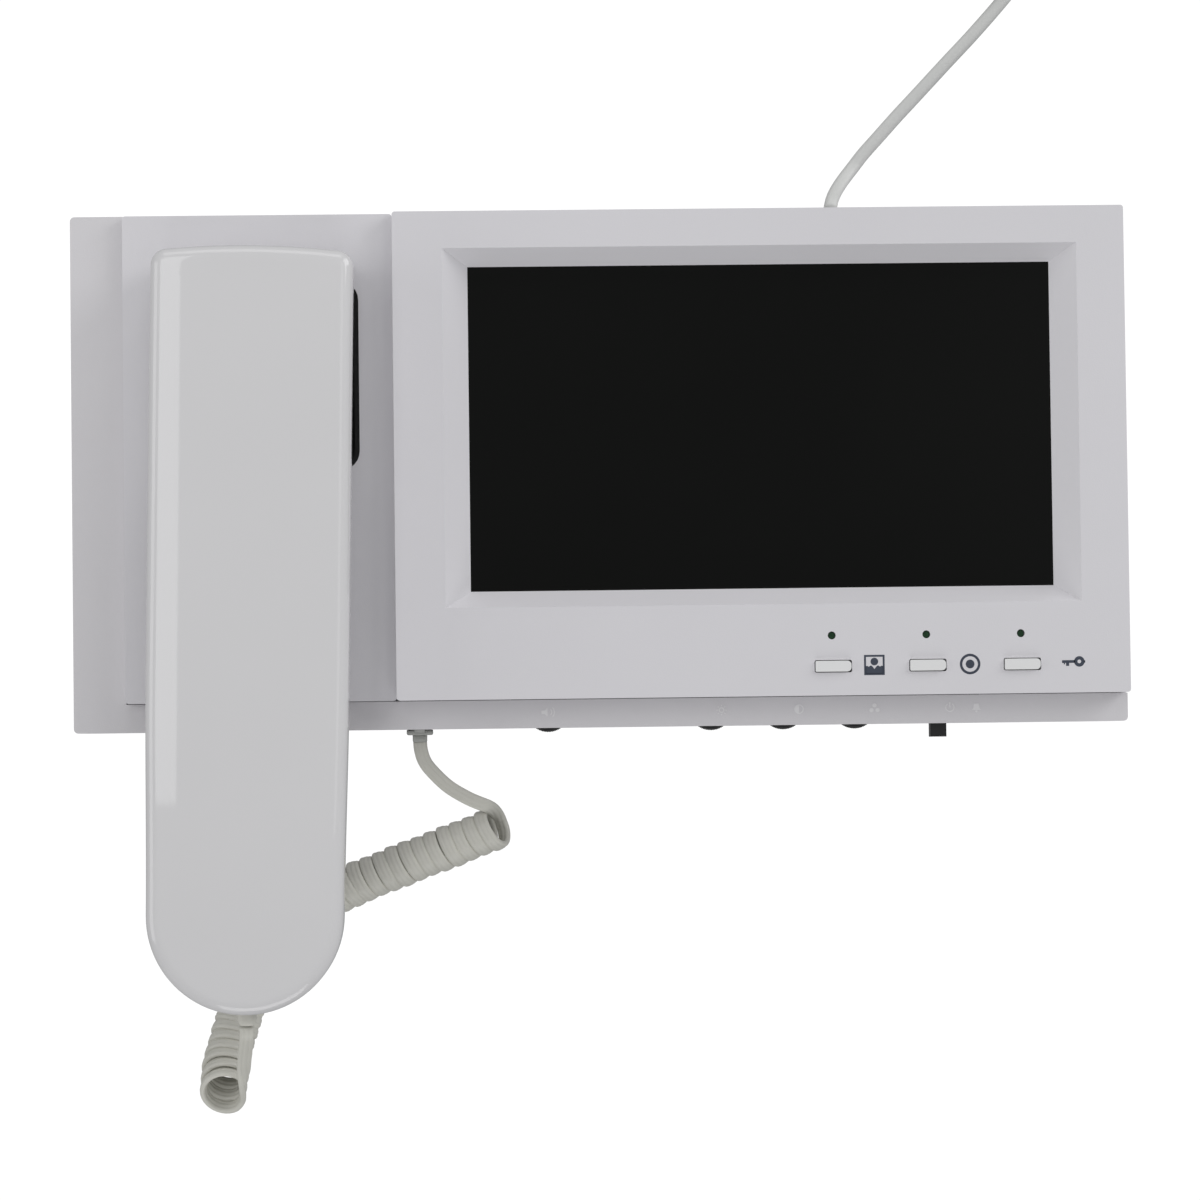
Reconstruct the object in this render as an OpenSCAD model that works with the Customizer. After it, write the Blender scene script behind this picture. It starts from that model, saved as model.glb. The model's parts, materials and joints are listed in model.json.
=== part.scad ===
// Wall intercom station with a 7 inch monitor and a corded handset.
// It lies on its back: z = 0 is the wall plane, +Z points out of the face, +Y is its top.
// The origin is the centre of the wall bracket's four screw holes.

/* [Housing] */
// Width of the housing
body_w = 278.5; // [276:0.5:282]
// Height of the housing, along Y
body_h = 136.5; // [135:0.5:138]
// Height of the housing's front face above the wall
base_t = 26; // [26:0.5:27]
// Wall thickness of the housing
wall_t = 2.5; // [2:0.1:2.6]
// Width of the plain strip left of the cradle
strip_w = 14; // [13:0.5:15]
// Height of the plain strip below the two front panels
strip_h = 7.6; // [7:0.1:8]

/* [Monitor] */
// Width of the monitor bezel
bezel_w = 193; // [190:0.5:194]
// How far the bezel stands above the housing's front face
bezel_rise = 8; // [7.5:0.1:9]
// Visible width of the screen
screen_w = 154.1; // [150:0.1:156]
// Visible height of the screen
screen_h = 85.9; // [82:0.1:88]
// Depth of the bevelled frame round the screen
bevel_d = 6; // [5.5:0.1:6]

/* [Cradle] */
// How far the cradle panel stands above the housing's front face
cradle_rise = 3; // [2.6:0.1:3.2]

/* [Handset] */
// Length of the handset
handset_l = 199; // [196:0.5:202]
// Width of the handset
handset_w = 52.2; // [51:0.1:53]
// Thickness of the handset's body
handset_t = 24; // [23:0.5:26]
// How far the handset leans in its cradle, in degrees
handset_lean = 1.15; // [0:0.05:1.5]

/* [Controls] */
// Length of a push button
button_l = 9.4; // [9:0.1:10.2]
// Height of a push button
button_h = 2.85; // [2.8:0.05:3.4]
// Distance from one push button to the next
button_pitch = 24.9; // [24:0.1:25.5]
// Travel of a push button
button_travel = 0.9; // [0.5:0.1:0.9]
// Diameter of a thumb wheel
wheel_d = 12; // [11.6:0.1:12.2]

/* [Bracket] */
// Distance between the wall screws along X
screw_dx = 120; // [110:1:124]
// Distance between the wall screws along Y
screw_dy = 60; // [56:1:64]
// Diameter of the wall screw holes
screw_hole_d = 4.5; // [4:0.1:5]

/* [Cords] */
// Outer diameter of the curly handset cord
coil_d = 11.6; // [11:0.1:12]
// Width of the handset cord
cord_d = 3.7; // [3.4:0.1:4]
// Width of the supply lead
lead_d = 3.6; // [3.4:0.1:4]

/* [Hidden] */
$fn = 48;

// Housing, seen from the front
body_x = body_w / 2;
body_y = body_h / 2;
body_r = 1.2;
back_t = 2.5;
recess = [78, 47];
recess_d = 5;
seam_z = 23;
seam_gap = 0.3;
panel_x0 = -body_x + strip_w;
panel_y0 = -body_y + strip_h;
panel_x1 = body_x - 0.3;
panel_y1 = body_y - 0.3;
strip_t = 2.2;
panel_gap = 0.14;

// Front panels
bezel_z = base_t + bezel_rise;
bezel_x0 = panel_x1 - bezel_w;
cradle_z = base_t + cradle_rise;
cradle_x1 = bezel_x0 - panel_gap;
plate_t = 2.4;
skirt_t = 2;
bezel_posts = [[-47, 60], [131, 60], [-36, -53], [131, -53]];
cradle_posts = [[-119, 60], [-119, -53]];
boss_r = 4;
boss_top = 20;
screw_r = 1.5;

// Screen, centred right of the origin
screen_c = [42.7, 10.8];
bevel_side = 6.6;
bevel_top = 4.4;
screen_z = bezel_z - bevel_d;
window_t = 1.5;
lcd_size = [165, 100];
lcd_z0 = 20.4;
lcd_z1 = 26.3;

// Push buttons and lamps
button_c = [60.6, -53];
button_gap = 0.22;
led_dx = -0.3;
led_y = -44.9;
led_r = 1;
button_board_z = 22;
board_t = 1.6;
tact_top = 27.2;

// Thumb wheels and slide switch on the bottom edge
wheel_r = wheel_d / 2;
wheel_out = 1.15;
wheel_x = [-14.2, 29.2, 48.5, 67.6];
wheel_y = -body_y - wheel_out + wheel_r;
wheel_z = [12.6, 16.6];
knurls = 30;
post_r = 1.45;
control_board_z = 5;
slider_x = 88.2;
slider_w = 4.3;
slider_travel = 3;
slider_out = 3.6;

// Cradle well and hook lever
well = [-116.2, 0.3, -63.2, 50.3];
well_r = 5;
well_wall = 1.3;
well_floor = [17, 18.5];
hook_x = -91;
hook_y = 12;
hook_z = 11.5;
pin_r = 1;
lever_w = 9;

// Handset, drawn upright about its own centre and then leaned
handset_c = [-91.7, -42.3];
handset_z0 = 31;
handset_z1 = handset_z0 + handset_t;
parting_z = 43;
shell_t = 2;
edge_round = 3;
ear_y = 69.3;
ear_r = 21;
mouth_y = -72;
mouth_r = 20;
grip_rise = 7;
grip_half = 50;
grip_y = -2;
grip_r = (grip_half * grip_half + grip_rise * grip_rise) / (2 * grip_rise);

// Modular jacks and plugs
jack_x = -48.5;
jack_z = 13;
plug_w = 7.2;
plug_t = 6.2;
handset_jack_z = 38;

// Route of the handset cord: out of the base plug, round the curly part, up to the handset
tail_route = [
    [-48.5, -71.5, 13], [-48.2, -73.6, 12.7], [-47.3, -76.4, 12], [-45.5, -79.1, 11.2],
    [-40.8, -83.4, 10.2], [-35.9, -86.4, 9.6], [-31, -89.4, 8.6]
];
coil_route = [
    [-27.6, -93.7, 5.8], [-35.4, -96.8, 5.8], [-44.5, -99.6, 5.8], [-57.9, -103.9, 5.8],
    [-66.9, -108.4, 5.8], [-76.5, -114.3, 5.8], [-84.5, -121, 5.8], [-90.5, -129, 6.2],
    [-95.4, -138.5, 7], [-98.9, -148, 9], [-101, -157, 12], [-101.7, -164.2, 16]
];
riser_route = [
    [-97.3, -166.3, 15], [-96.9, -162, 20], [-95.9, -158, 24], [-94.9, -154, 28.5],
    [-94, -149.8, 34], [-93.8, -147.2, 37.4], [-93.8, -145.2, 38]
];

// Route of the supply lead: out of the gland, down to the table and away to its coil
gland_c = [63.3, 12];
lead_route = [
    [63.3, 70.4, 12], [63.9, 72.8, 10.6], [65.2, 75.6, 7.4], [67.4, 79, 4.2],
    [70.4, 82.9, 2.3], [73.4, 86.7, 1.8], [77.5, 91.2, 1.8], [82.4, 96.6, 1.8],
    [88, 102.5, 1.8], [96, 111, 1.8], [104, 119.4, 1.8], [112, 128.4, 1.8],
    [120.4, 138.6, 1.8], [128.4, 149.6, 1.8]
];
lead_coil_c = [107, 162];
lead_coil_r = [15.6, 26.6];
lead_coil_z = [0.7, 11.9];
lead_end_route = [
    [111, 183.6, 10.4], [105.5, 187.2, 10.2], [100, 187.6, 9.4], [93.5, 186.2, 8.2],
    [87, 183.8, 7.2], [82, 182.4, 6.8], [77.5, 182, 6.8]
];
plug_body = [[44, 164.4], [78, 199.6]];
plug_body_t = 13.6;
pin_pitch = 18.6;
pin_l = 19;

// Points along an arc
function arc(cx, cy, r, a0, a1, n = 6) =
    [for (i = [0:n]) let (a = a0 + (a1 - a0) * i / n) [cx + r * cos(a), cy + r * sin(a)]];

// Outline of a rectangle with round corners
function round_rect(x0, y0, x1, y1, r) = concat(
    arc(x1 - r, y1 - r, r, 0, 90), arc(x0 + r, y1 - r, r, 90, 180),
    arc(x0 + r, y0 + r, r, 180, 270), arc(x1 - r, y0 + r, r, 270, 360));

// A flat slab between two corners and two heights
module slab(x0, y0, x1, y1, z0, z1, r = 0) {
    translate([0, 0, z0]) linear_extrude(z1 - z0)
        polygon(r > 0 ? round_rect(x0, y0, x1, y1, r) : [[x0, y0], [x1, y0], [x1, y1], [x0, y1]]);
}

module rod(x, y, z0, z1, r) {
    translate([x, y, z0]) cylinder(r = r, h = z1 - z0);
}

// Outline of the handset, drawn in by inset: bowed top, round corners, half-round lower end
function handset_outline(inset = 0) =
    let (h = handset_w / 2 - inset, top = handset_l / 2 - inset, low = -handset_l / 2 + handset_w / 2,
         corner = max(3.5 - inset, 0.8), bow = 1.3)
    concat(
        arc(0, low, h - 0.4, 180, 360, 28),
        [[h, mouth_y + 60]],
        arc(h - corner, top - bow - corner, corner, 0, 80, 6),
        [for (i = [-2:2]) [-i * h / 4, top - bow * (i * i) / 9]],
        arc(-h + corner, top - bow - corner, corner, 100, 180, 6),
        [[-h, mouth_y + 60]]);

module handset_slab(inset, z0, z1) {
    translate([0, 0, z0]) linear_extrude(z1 - z0) polygon(handset_outline(inset));
}

module in_handset() {
    translate([handset_c[0], handset_c[1], 0]) rotate([0, 0, -handset_lean]) children();
}

// The part of a cylinder lying across the handset that arches the grip
module grip_arch(extra = 0) intersection() {
    translate([-50, grip_y, handset_z0 + grip_rise - grip_r]) rotate([0, 90, 0])
        cylinder(r = grip_r + extra, h = 100, $fn = 120);
    slab(-60, grip_y - grip_half - extra, 60, grip_y + grip_half + extra, handset_z0 - 4, handset_z1);
}

// Frames along a route: centred tangents and two normals
function unit(v) = v / norm(v);
function tangent(p, i) = unit(p[min(i + 1, len(p) - 1)] - p[max(i - 1, 0)]);
function side(t) = unit(abs(t[2]) > 0.95 ? cross(t, [1, 0, 0]) : cross(t, [0, 0, 1]));

// A round tube swept along a route, closed at both ends
module sweep(route, r, sides) {
    n = len(route);
    points = [
        for (i = [0:n - 1]) let (t = tangent(route, i), u = side(t), v = cross(u, t))
            for (k = [0:sides - 1]) let (a = 360 * k / sides) route[i] + r * (cos(a) * u + sin(a) * v)
    ];
    walls = [
        for (i = [0:n - 2], k = [0:sides - 1]) let (m = (k + 1) % sides)
            [i * sides + k, (i + 1) * sides + k, (i + 1) * sides + m, i * sides + m]
    ];
    caps = [[for (k = [0:sides - 1]) k], [for (k = [sides - 1:-1:0]) (n - 1) * sides + k]];
    polyhedron(points, concat(walls, caps), convexity = 6);
}

module wall_bracket() color("silver") {
    difference() {
        slab(-75, -44, 75, 44, 0, 1.5, 4);
        slab(-13, -10, 13, 10, -1, 3, 2);
        for (x = [-1, 1], y = [-1, 1])
            rod(x * screw_dx / 2, y * screw_dy / 2, -1, 3, screw_hole_d / 2);
    }
    for (x = [-45, 45], y = [-34, 22]) {
        slab(x - 5, y, x + 5, y + 1.5, 1.5, 8.8);
        slab(x - 5, y, x + 5, y + 5.5, 7.4, 8.8);
    }
}

module rear_housing() color("gainsboro") difference() {
    union() {
        difference() {
            slab(-body_x, -body_y, body_x, body_y, 0, base_t, body_r);
            slab(-body_x + wall_t, -body_y + wall_t, body_x - wall_t, body_y - wall_t,
                 back_t, base_t - strip_t, 1);
            slab(panel_x0 - panel_gap, panel_y0 - panel_gap, body_x + 1, body_y + 1, seam_z, base_t + 1);
        }
        slab(-recess[0] - 2, -recess[1] - 2, recess[0] + 2, recess[1] + 2, back_t - 1, recess_d + 2, 2);
        for (p = concat(bezel_posts, cradle_posts)) rod(p[0], p[1], 1, boss_top, boss_r);
        for (x = [-22, 66], y = [-32, 28]) rod(x, y, recess_d + 1, 10, 2.8);
        for (x = [86, 130], y = [14, 50]) rod(x, y, back_t - 1, 5, 2.8);
        for (x = [-20, 98]) rod(x, -54.5, back_t - 1, control_board_z, 2.4);
        for (x = [-104, -86], y = [12, 36]) rod(x, y, back_t - 1, 3.4, 2.4);
        for (x = [52, 122]) rod(x, -46, back_t - 1, button_board_z, 2.4);
    }
    slab(-recess[0], -recess[1], recess[0], recess[1], -1, recess_d, 2);
    for (p = concat(bezel_posts, cradle_posts)) {
        rod(p[0], p[1], -1, boss_top + 1, 1.7);
        rod(p[0], p[1], -1, 2.6, 3.4);
    }
    for (x = [-22, 66], y = [-32, 28]) rod(x, y, recess_d + 3, 11, 1);
    for (x = [-45, 45], y = [-34, 22]) slab(x - 6, y - 4, x + 6, y + 6, recess_d - 1, recess_d + 3);
    slab(-12, -9, 12, 9, recess_d - 1, recess_d + 3, 2);
    for (i = [-3:3], j = [-3:3]) if (i * i + j * j < 11)
        rod(106 + i * 4.5, -12 + j * 4.5, -1, back_t + 1, 1.1);
    for (x = wheel_x) translate([x - wheel_r - 0.2, -body_y - 1, wheel_z[0] - 0.4])
        cube([wheel_d + 0.4, wall_t + 2, 4.8]);
    translate([slider_x - 0.4, -body_y - 1, 7.3]) cube([slider_w + slider_travel + 0.8, wall_t + 2, 5.4]);
    translate([jack_x - 4.8, -body_y - 1, jack_z - 4]) cube([9.6, wall_t + 2, 8]);
    translate([gland_c[0], body_y - wall_t - 1, gland_c[1]]) rotate([-90, 0, 0]) cylinder(r = 3.2, h = wall_t + 2);
    for (i = [0:6]) translate([body_x - wall_t - 1, 20 + i * 5, 8]) cube([wall_t + 2, 2, 10]);
    for (i = [0:9]) translate([-30 + i * 5, body_y - wall_t - 1, 8]) cube([2, wall_t + 2, 10]);
}

module housing_screws() color("lightgray") for (p = concat(bezel_posts, cradle_posts)) {
    difference() {
        rod(p[0], p[1], 0.6, 2.6, 2.9);
        slab(p[0] - 2, p[1] - 0.4, p[0] + 2, p[1] + 0.4, 0, 1.4);
        slab(p[0] - 0.4, p[1] - 2, p[0] + 0.4, p[1] + 2, 0, 1.4);
    }
    rod(p[0], p[1], 2.6, 25.5, screw_r);
}

// A front panel's plate with a skirt round it
module panel(x0, x1, top) {
    difference() {
        slab(x0, panel_y0, x1, panel_y1, seam_z + seam_gap, top, 0.8);
        slab(x0 + skirt_t, panel_y0 + skirt_t, x1 - skirt_t, panel_y1 - skirt_t,
             seam_z - 1, top - plate_t, 0.6);
    }
}

module screw_posts(places, top) {
    for (p = places) difference() {
        rod(p[0], p[1], boss_top + 0.3, top - plate_t + 0.5, 3.2);
        rod(p[0], p[1], boss_top - 1, 26, screw_r + 0.02);
    }
}

module cradle_panel() color("gainsboro") {
    difference() {
        panel(panel_x0, cradle_x1, cradle_z);
        slab(well[0], well[1], well[2], well[3], seam_z, cradle_z + 1, well_r);
    }
    screw_posts(cradle_posts, cradle_z);
}

module cradle_well() color("black") {
    top = cradle_z - plate_t;
    difference() {
        union() {
            slab(well[0] - 2.4, well[1] - 2.4, well[2] + 2.4, well[3] + 2.4, top - 1.4, top, well_r);
            slab(well[0], well[1], well[2], well[3], well_floor[0], top, well_r);
        }
        slab(well[0] + well_wall, well[1] + well_wall, well[2] - well_wall, well[3] - well_wall,
             well_floor[1], top + 1, well_r - well_wall);
        slab(hook_x - 5.6, 24.5, hook_x + 5.6, 37.5, well_floor[0] - 1, well_floor[1] + 1, 1);
    }
    for (x = [-1, 1]) difference() {
        translate([hook_x + x * 6.2 - 1, hook_y - 2.6, hook_z - 2.4]) cube([2, 5.2, well_floor[0] - hook_z + 2.4]);
        translate([hook_x - 10, hook_y, hook_z]) rotate([0, 90, 0]) cylinder(r = pin_r + 0.02, h = 20);
    }
}

// The four bevels round the screen, cut by two crossed trapezoid prisms
module bevel_cut() {
    over = 0.5;
    sx = bevel_side / bevel_d;
    sy = bevel_top / bevel_d;
    hx = screen_w / 2;
    hy = screen_h / 2;
    low = screen_z - over;
    high = bezel_z + over;
    intersection() {
        translate([screen_c[0], 200, 0]) rotate([90, 0, 0]) linear_extrude(400)
            polygon([[-hx + over * sx, low], [hx - over * sx, low],
                     [hx + (bevel_d + over) * sx, high], [-hx - (bevel_d + over) * sx, high]]);
        translate([-200, screen_c[1], 0]) rotate([90, 0, 90]) linear_extrude(400)
            polygon([[-hy + over * sy, low], [hy - over * sy, low],
                     [hy + (bevel_d + over) * sy, high], [-hy - (bevel_d + over) * sy, high]]);
    }
}

module front_bezel() color("gainsboro") {
    fx = screen_w / 2 + bevel_side + 1.5;
    fy = screen_h / 2 + bevel_top + 1.5;
    difference() {
        union() {
            panel(bezel_x0, panel_x1, bezel_z);
            slab(screen_c[0] - fx, screen_c[1] - fy, screen_c[0] + fx, screen_c[1] + fy, screen_z, bezel_z);
        }
        bevel_cut();
        for (i = [0:2]) {
            x = button_c[0] + i * button_pitch;
            slab(x - button_l / 2 - button_gap, button_c[1] - button_h / 2 - button_gap,
                 x + button_l / 2 + button_gap, button_c[1] + button_h / 2 + button_gap,
                 bezel_z - plate_t - 1, bezel_z + 1, 0.5);
            rod(x + led_dx, led_y, bezel_z - plate_t - 1, bezel_z + 1, led_r + 0.05);
        }
    }
    screw_posts(bezel_posts, bezel_z);
}

module screen_window() color([0.06, 0.06, 0.07]) {
    slab(screen_c[0] - screen_w / 2 - 3, screen_c[1] - screen_h / 2 - 3,
         screen_c[0] + screen_w / 2 + 3, screen_c[1] + screen_h / 2 + 3,
         screen_z - window_t, screen_z - 0.02, 0.5);
}

module lcd_panel() color([0.1, 0.1, 0.11]) {
    slab(screen_c[0] - lcd_size[0] / 2, screen_c[1] - lcd_size[1] / 2,
         screen_c[0] + lcd_size[0] / 2, screen_c[1] + lcd_size[1] / 2, lcd_z0, lcd_z1);
}

module lcd_frame() color("silver") difference() {
    x = lcd_size[0] / 2;
    y = lcd_size[1] / 2;
    slab(screen_c[0] - x - 1, screen_c[1] - y - 1, screen_c[0] + x + 1, screen_c[1] + y + 1,
         lcd_z0 - 1, lcd_z1 - 0.5);
    slab(screen_c[0] - x - 0.1, screen_c[1] - y - 0.1, screen_c[0] + x + 0.1, screen_c[1] + y + 0.1,
         lcd_z0 - 0.1, lcd_z1 + 1);
}

// A printed circuit board with mounting holes
module board(x0, y0, x1, y1, z, holes, r) {
    difference() {
        slab(x0, y0, x1, y1, z, z + board_t, 1);
        for (h = holes) rod(h[0], h[1], z - 1, z + board_t + 1, r);
    }
}

module display_board() color("darkgreen") {
    board(78, -28, 122, 4, 17, [[82, -24], [118, 0]], 1.2);
    slab(92, -20, 106, -8, 15.6, 17);
}

main_holes = [[-22, -32], [66, -32], [-22, 28], [66, 28]];

module main_board() color("darkgreen") {
    board(-27, -37, 71, 33, 10, main_holes, 1.2);
    slab(-2, -26, 12, -12, 11.6, 13.6);
    slab(-20, 4, -8, 12, 11.6, 16);
    for (i = [0:4]) rod(-4 + i * 9, 24, 11.6, 17, 3);
}

module board_screws() color("lightgray") for (p = main_holes) {
    rod(p[0], p[1], 11.6, 13, 2.2);
    rod(p[0], p[1], 8.2, 11.6, 0.98);
}

module processor_shield() color("silver") difference() {
    slab(26, -28, 56, -4, 11.6, 16.2, 0.5);
    slab(26.5, -27.5, 55.5, -4.5, 11, 15.7);
}

module terminal_block() color("seagreen") difference() {
    slab(14, 2, 44, 12, 11.6, 18.8);
    for (i = [0:5]) {
        rod(16.5 + i * 5, 7, 14, 20, 1.6);
        translate([16.5 + i * 5, 1, 13.6]) rotate([-90, 0, 0]) cylinder(r = 1.3, h = 5);
    }
}

module terminal_screws() color("lightgray") for (i = [0:5]) difference() {
    rod(16.5 + i * 5, 7, 14.1, 18, 1.5);
    slab(16.5 + i * 5 - 2, 6.75, 16.5 + i * 5 + 2, 7.25, 17.2, 18.5);
}

module power_board() color("darkgreen") {
    board(82, 10, 134, 54, 5, [[86, 14], [130, 14], [86, 50], [130, 50]], 1.2);
    slab(84, 20, 92, 38, 6.6, 14);
}

module transformer() color("goldenrod") {
    slab(96, 17, 122, 47, 6.6, 9);
    slab(99, 15, 119, 49, 9, 15.5);
    slab(96, 17, 122, 47, 15.5, 17.6);
}

module mains_capacitor() color("navy") rod(128, 32, 6.6, 17.5, 4.8);

module call_speaker() color("dimgray") {
    rod(106, -12, 2.6, 4.6, 17);
    rod(106, -12, 4.6, 8.4, 12);
}

module button_board() color("darkgreen") {
    board(49, -58.5, 125, -42, button_board_z, [[52, -46], [122, -46]], 1.2);
}

module tact_switches() color("dimgray") for (i = [0:2]) {
    x = button_c[0] + i * button_pitch;
    slab(x - 3, button_c[1] - 3, x + 3, button_c[1] + 3, button_board_z + board_t, 26.6);
    rod(x, button_c[1], 26.6, tact_top, 1.6);
}

module status_leds() color("darkgreen") for (i = [0:2]) {
    x = button_c[0] + led_dx + i * button_pitch;
    rod(x, led_y, button_board_z + board_t, 31.2, 1.5);
    rod(x, led_y, 31.2, bezel_z - 1.1, led_r - 0.1);
}

module push_button(i) color("white") {
    x = button_c[0] + i * button_pitch;
    y = button_c[1];
    top = bezel_z + 0.9;
    slab(x - button_l / 2, y - button_h / 2, x + button_l / 2 - 1.5, y + button_h / 2,
         bezel_z - plate_t - 0.3, top, 0.3);
    slab(x, y - button_h / 2, x + button_l / 2, y + button_h / 2, bezel_z - plate_t - 0.3, top, 1.1);
    slab(x - button_l / 2 - 1, y - 2.6, x + button_l / 2 + 1, y + 2.6,
         bezel_z - plate_t - 1.6, bezel_z - plate_t - 0.3, 0.5);
    rod(x, y, tact_top + 1, bezel_z - plate_t - 1.6, 1.8);
}

module monitor_button() push_button(0);
module talk_button() push_button(1);
module unlock_button() push_button(2);

module control_board() color("darkgreen") {
    board(-24, -65, 102, -51, control_board_z, [[-20, -54.5], [98, -54.5]], 1.2);
}

module potentiometers() color("dimgray") for (x = wheel_x) {
    slab(x - 5, -65.4, x + 5, -55.4, control_board_z + board_t, wheel_z[0] - 0.4);
    rod(x, wheel_y, wheel_z[0] - 0.4, wheel_z[1] + 1, post_r);
}

// A knurled thumb wheel that turns on its post
module thumb_wheel(i) color("black") translate([wheel_x[i], wheel_y, wheel_z[0]]) difference() {
    linear_extrude(wheel_z[1] - wheel_z[0]) polygon([
        for (k = [0:knurls - 1], s = [0, 1])
            let (a = 360 * (k + s / 2) / knurls, r = wheel_r - 0.55 * s) [r * cos(a), r * sin(a)]
    ]);
    translate([0, 0, -1]) cylinder(r = post_r + 0.05, h = 8);
}

module volume_wheel() thumb_wheel(0);
module brightness_wheel() thumb_wheel(1);
module contrast_wheel() thumb_wheel(2);
module colour_wheel() thumb_wheel(3);

module slide_switch() color("silver") difference() {
    slab(slider_x - 3, -65.4, slider_x + slider_w + slider_travel + 3, -58, control_board_z + board_t, 13.4);
    translate([slider_x - 0.4, -66, 8.2]) cube([slider_w + slider_travel + 0.8, 5, 3.6]);
}

module slider_knob() color("black") {
    difference() {
        translate([slider_x, -body_y - slider_out, 7.8]) cube([slider_w, slider_out + 2.4, 4.4]);
        for (i = [0:3]) translate([slider_x + 0.45 + i, -body_y - slider_out - 1, 7])
            cube([0.4, 1.4, 6]);
    }
    translate([slider_x + 0.2, -body_y + 2.4, 8.5]) cube([slider_w - 0.4, 4, 3]);
}

// A modular socket that opens towards -Y, with its mouth at y
module modular_jack(x, y, z, length) {
    difference() {
        translate([x - 5.5, y, z - 5]) cube([11, length, 10]);
        translate([x - plug_w / 2 - 0.15, y - 1, z - plug_t / 2 - 0.15])
            cube([plug_w + 0.3, length - 1, plug_t + 0.3]);
        translate([x - 2.2, y - 1, z + plug_t / 2]) cube([4.4, length - 1, 1.5]);
    }
}

module line_jack() color("dimgray") modular_jack(jack_x, -65.6, jack_z, 12.5);

module hook_board() color("darkgreen") {
    board(-108, 8, -82, 40, 3.4, [[-104, 12], [-86, 12], [-104, 36], [-86, 36]], 1.2);
}

module hook_switch() color("dimgray") {
    slab(hook_x - 5, 24, hook_x + 5, 31, 5, 9.2);
    rod(hook_x, 28, 9.2, 9.9, 1.2);
}

module hook_lever() color("black") difference() {
    union() {
        slab(hook_x - lever_w / 2, hook_y - 1, hook_x + lever_w / 2, 34, hook_z - 1.2, hook_z + 1.2);
        translate([hook_x - lever_w / 2, hook_y, hook_z]) rotate([0, 90, 0]) cylinder(r = 2.4, h = lever_w);
        slab(hook_x - lever_w / 2, 28, hook_x + lever_w / 2, 34, hook_z - 1.2, 18.4);
        translate([hook_x - lever_w / 2, 31, 17]) rotate([0, 90, 0]) cylinder(r = 3, h = lever_w);
    }
    translate([hook_x - 10, hook_y, hook_z]) rotate([0, 90, 0]) cylinder(r = pin_r + 0.05, h = 20);
}

module hook_pin() color("silver")
    translate([hook_x - 7.6, hook_y, hook_z]) rotate([0, 90, 0]) cylinder(r = pin_r, h = 15.2);

module handset_front() color("whitesmoke") in_handset() {
    difference() {
        union() {
            handset_slab(0, parting_z + 0.15, handset_z1 - edge_round);
            hull() {
                handset_slab(0, handset_z1 - edge_round - 0.1, handset_z1 - edge_round);
                handset_slab(0.9, handset_z1 - 0.9, handset_z1 - 0.8);
                handset_slab(edge_round, handset_z1 - 0.1, handset_z1);
            }
        }
        handset_slab(shell_t, parting_z - 1, handset_z1 - edge_round);
    }
    for (y = [-30, 48]) difference() {
        rod(0, y, parting_z - 2.4, handset_z1 - edge_round + 0.5, 3);
        rod(0, y, parting_z - 3, parting_z + 6, 1.27);
    }
}

module handset_back() color("whitesmoke") in_handset() {
    plug_cut = [plug_w + 0.8, 20, plug_t + 0.8];
    difference() {
        union() {
            handset_slab(0.4, handset_z0, parting_z);
            rod(0, ear_y, 20.6, handset_z0 + 1, ear_r);
            rod(0, mouth_y, 25.5, handset_z0 + 1, mouth_r);
        }
        grip_arch();
        difference() {
            handset_slab(shell_t + 0.4, handset_z0 + shell_t, parting_z + 1);
            grip_arch(shell_t);
            for (y = [-30, 48]) rod(0, y, handset_z0, parting_z - 2.7, 3);
        }
        rod(0, ear_y, 22.4, handset_z0 + 4, ear_r - 1.8);
        rod(0, mouth_y, 27.3, handset_z0 + 4, mouth_r - 1.8);
        for (i = [-2:2], j = [-2:2]) if (i * i + j * j < 6) rod(i * 4, ear_y + j * 4, 20, 23, 1.1);
        for (i = [-1:1]) rod(i * 4, mouth_y, 25, 28, 0.8);
        for (y = [-30, 48]) {
            rod(0, y, handset_z0 - 1, parting_z, 1.35);
            rod(0, y, handset_z0 - 1, parting_z - 5.5, 2.6);
        }
        translate([-plug_cut[0] / 2, -handset_l / 2 - 2, handset_jack_z - plug_cut[2] / 2]) cube(plug_cut);
    }
}

module handset_screws() color("lightgray") in_handset() for (y = [-30, 48]) {
    difference() {
        rod(0, y, parting_z - 7, parting_z - 5.5, 2.4);
        slab(-2, y - 0.4, 2, y + 0.4, parting_z - 8, parting_z - 6.4);
    }
    rod(0, y, parting_z - 5.5, parting_z + 5, 1.25);
}

module earpiece() color("dimgray") in_handset() {
    rod(0, ear_y, 22.8, 27, ear_r - 2.2);
    rod(0, ear_y, 27, 31, 12);
}

module microphone() color("dimgray") in_handset() rod(0, mouth_y, 27.5, 32, 4.8);

module handset_weight() color("silver") in_handset() slab(-9, 5, 9, 40, parting_z + 1.2, parting_z + 7, 1);

module handset_jack() color("dimgray") in_handset()
    modular_jack(0, -handset_l / 2 + 4.2, handset_jack_z, 12);

module modular_plug(x, y, z, reach) {
    translate([x - plug_w / 2, y, z - plug_t / 2]) cube([plug_w, reach, plug_t]);
    translate([x - 1.65, y - 1.4, z - 1.8]) cube([3.3, 1.5, 3.6]);
}

module base_plug() color("lightgray") modular_plug(jack_x, -70, jack_z, 13);

module handset_plug() color("lightgray") in_handset() {
    modular_plug(0, -handset_l / 2 + 1, handset_jack_z, 11.5);
    translate([-2.5, -handset_l / 2 - 2.8, handset_jack_z - 1.9]) cube([5, 3.9, 3.8]);
}

module cord_tail() color("darkseagreen") sweep(tail_route, cord_d / 2 - 0.1, 8);
module cord_coil() color("darkseagreen") sweep(coil_route, coil_d / 2 - 0.05, 12);
module cord_riser() color("darkseagreen") sweep(riser_route, cord_d / 2 - 0.1, 8);

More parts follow.
